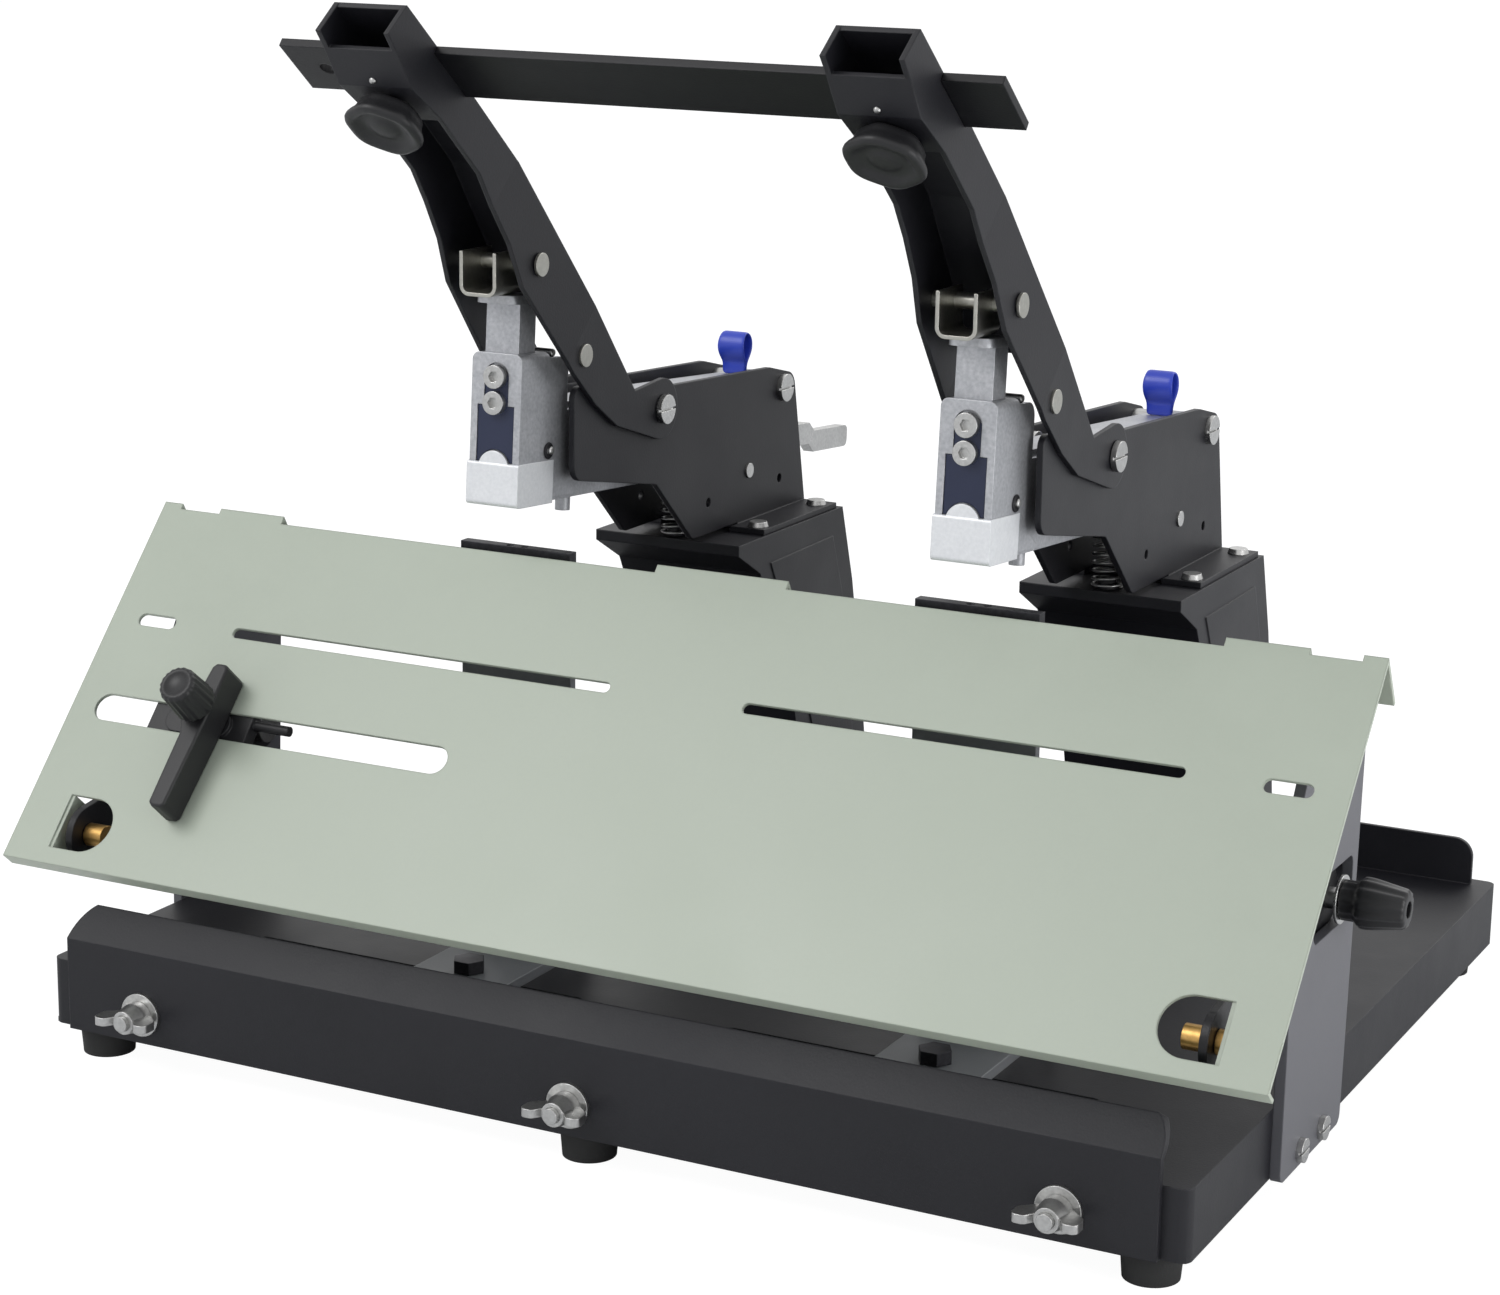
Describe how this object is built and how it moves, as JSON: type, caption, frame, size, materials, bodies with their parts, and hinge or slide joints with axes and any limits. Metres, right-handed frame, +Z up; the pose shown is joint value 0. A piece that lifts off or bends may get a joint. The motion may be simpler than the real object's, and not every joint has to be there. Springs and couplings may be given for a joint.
{
  "type": "saddle binding machine",
  "caption": "Bench-top saddle stapling and binding machine: folded base tray, sloping slotted table and staple heads whose spring-returned arms are joined by a cross bar",
  "frame": {"origin": "on the floor under the middle of the bounding box, feet standing on Z = 0", "axes": "+X to the right seen from the front, +Y to the back, +Z up"},
  "size_m": [0.5288, 0.4214, 0.4089],
  "materials": {
    "painted_black": "charcoal powder coat, fine texture",
    "painted_grey": "pale grey-green smooth powder coat",
    "bare_steel": "bright zinc plated",
    "cast_zinc": "cast zinc alloy, satin",
    "post_grey": "mid grey satin paint",
    "navy": "dark navy steel",
    "brass": "turned",
    "rubber": "moulded",
    "black_plastic": "moulded",
    "blue_plastic": "moulded"
  },
  "bodies": {
    "base": {"base_tray": "painted_black", "front_fence": "painted_black", "fence_studs": "bare_steel", "front_feet": "rubber", "rear_feet": "rubber", "left_bracket": "painted_black", "right_bracket": "painted_black", "bracket_screws": "bare_steel", "table_hinge_pins": "bare_steel"},
    "table": {"table_plate": "painted_grey", "table_ear_pins": "brass"},
    "struts": {"left_strut": "painted_black", "right_strut": "painted_black", "clamp_bolts": "bare_steel"},
    "left_table_knob": {"left_table_knob": "black_plastic"},
    "right_table_knob": {"right_table_knob": "black_plastic"},
    "side_guide": {"guide_bar": "black_plastic", "guide_block": "black_plastic"},
    "guide_knob": {"guide_knob": "black_plastic"},
    "wing_nut_left": {"wing_nut_left": "bare_steel"},
    "wing_nut_middle": {"wing_nut_middle": "bare_steel"},
    "wing_nut_right": {"wing_nut_right": "bare_steel"},
    "left_head": {"left_carriage": "bare_steel", "left_anvil_post": "post_grey", "left_clincher": "bare_steel", "left_stand": "painted_black", "left_frame": "painted_black", "left_fasteners": "bare_steel", "left_spring": "bare_steel"},
    "left_arm": {"left_arm": "painted_black", "left_arm_rods": "bare_steel", "cross_bar": "painted_black"},
    "left_bar_knob": {"left_bar_knob": "black_plastic"},
    "left_magazine": {"left_nose_block": "cast_zinc", "left_nose_shoe": "cast_zinc", "left_nose_plate": "navy", "left_nose_screws": "bare_steel", "left_magazine": "bare_steel", "left_pull_tab": "blue_plastic"},
    "left_driver": {"left_driver": "bare_steel"},
    "left_pusher": {"left_pusher": "bare_steel"},
    "right_head": {"right_carriage": "bare_steel", "right_anvil_post": "post_grey", "right_clincher": "bare_steel", "right_stand": "painted_black", "right_frame": "painted_black", "right_fasteners": "bare_steel", "right_spring": "bare_steel"},
    "right_arm": {"right_arm": "painted_black", "right_arm_rods": "bare_steel"},
    "right_bar_knob": {"right_bar_knob": "black_plastic"},
    "right_magazine": {"right_nose_block": "cast_zinc", "right_nose_shoe": "cast_zinc", "right_nose_plate": "navy", "right_nose_screws": "bare_steel", "right_magazine": "bare_steel", "right_pull_tab": "blue_plastic"},
    "right_driver": {"right_driver": "bare_steel"},
    "right_pusher": {"right_pusher": "bare_steel"}
  },
  "joints": [
    {"name": "table_tilt", "type": "hinge", "parent": "base", "child": "table", "pos_m": [0, -0.08357, 0.184], "axis": [1, 0, 0], "range_deg": [-10, 4]},
    {"name": "strut_swing", "type": "hinge", "parent": "table", "child": "struts", "pos_m": [0, -0.17238, 0.08355], "axis": [1, 0, 0], "range_deg": [-0.6, 1.5]},
    {"name": "left_table_knob_spin", "type": "hinge", "parent": "struts", "child": "left_table_knob", "pos_m": [-0.25, -0.05807, 0.101], "axis": [1, 0, 0], "continuous": true},
    {"name": "right_table_knob_spin", "type": "hinge", "parent": "struts", "child": "right_table_knob", "pos_m": [0.25, -0.05807, 0.101], "axis": [1, 0, 0], "continuous": true},
    {"name": "guide_slide", "type": "slide", "parent": "table", "child": "side_guide", "axis": [1, 0, 0], "range_m": [-0.02, 0.08]},
    {"name": "guide_knob_spin", "type": "hinge", "parent": "side_guide", "child": "guide_knob", "pos_m": [-0.189, -0.14566, 0.12752], "axis": [0, -0.7466, 0.6652], "continuous": true},
    {"name": "wing_nut_left_spin", "type": "hinge", "parent": "base", "child": "wing_nut_left", "pos_m": [-0.19, -0.20107, 0.024], "axis": [0, 1, 0], "continuous": true},
    {"name": "wing_nut_middle_spin", "type": "hinge", "parent": "base", "child": "wing_nut_middle", "pos_m": [0, -0.20107, 0.024], "axis": [0, 1, 0], "continuous": true},
    {"name": "wing_nut_right_spin", "type": "hinge", "parent": "base", "child": "wing_nut_right", "pos_m": [0.19, -0.20107, 0.024], "axis": [0, 1, 0], "continuous": true},
    {"name": "left_head_slide", "type": "slide", "parent": "base", "child": "left_head", "axis": [1, 0, 0], "range_m": [-0.01, 0.04]},
    {"name": "right_head_slide", "type": "slide", "parent": "base", "child": "right_head", "axis": [1, 0, 0], "range_m": [-0.04, 0.01]},
    {"name": "left_arm_press", "type": "hinge", "parent": "left_head", "child": "left_arm", "pos_m": [-0.09285, 0.00163, 0.2415], "axis": [1, 0, 0], "range_deg": [0, 14], "stiffness_Nm_per_rad": 5, "springref_deg": -34.38},
    {"name": "left_bar_knob_spin", "type": "hinge", "parent": "left_arm", "child": "left_bar_knob", "pos_m": [-0.09285, -0.16612, 0.36742], "axis": [0, -0.6221, -0.7829], "continuous": true},
    {"name": "left_magazine_dip", "type": "hinge", "parent": "left_head", "child": "left_magazine", "pos_m": [-0.09285, 0.11403, 0.2344], "axis": [1, 0, 0], "range_deg": [0, 4.1], "deforming": ["left_spring"]},
    {"name": "left_driver_drop", "type": "slide", "parent": "left_magazine", "child": "left_driver", "axis": [0, -0.0715, -0.9974], "range_m": [0, 0.0082]},
    {"name": "left_pusher_draw", "type": "slide", "parent": "left_magazine", "child": "left_pusher", "axis": [0, 0.9974, -0.0715], "range_m": [-0.05, 0.06]},
    {"name": "right_arm_press", "type": "hinge", "parent": "right_head", "child": "right_arm", "pos_m": [0.10355, 0.00163, 0.2415], "axis": [1, 0, 0], "range_deg": [0, 14]},
    {"name": "right_bar_knob_spin", "type": "hinge", "parent": "right_arm", "child": "right_bar_knob", "pos_m": [0.10355, -0.16612, 0.36742], "axis": [0, -0.6221, -0.7829], "continuous": true},
    {"name": "right_magazine_dip", "type": "hinge", "parent": "right_head", "child": "right_magazine", "pos_m": [0.10355, 0.11403, 0.2344], "axis": [1, 0, 0], "range_deg": [0, 4.1], "deforming": ["right_spring"]},
    {"name": "right_driver_drop", "type": "slide", "parent": "right_magazine", "child": "right_driver", "axis": [0, -0.0715, -0.9974], "range_m": [0, 0.0082]},
    {"name": "right_pusher_draw", "type": "slide", "parent": "right_magazine", "child": "right_pusher", "axis": [0, 0.9974, -0.0715], "range_m": [0, 0.11]}
  ],
  "couplings": [
    {"joint": "strut_swing", "follows": "table_tilt", "ratio": -0.15},
    {"joint": "right_arm_press", "follows": "left_arm_press", "ratio": 1},
    {"joint": "left_magazine_dip", "follows": "left_arm_press", "ratio": 0.29286},
    {"joint": "left_driver_drop", "follows": "left_arm_press", "m_per_rad": 0.033559},
    {"joint": "right_magazine_dip", "follows": "left_arm_press", "ratio": 0.29286},
    {"joint": "right_driver_drop", "follows": "left_arm_press", "m_per_rad": 0.033559}
  ]
}
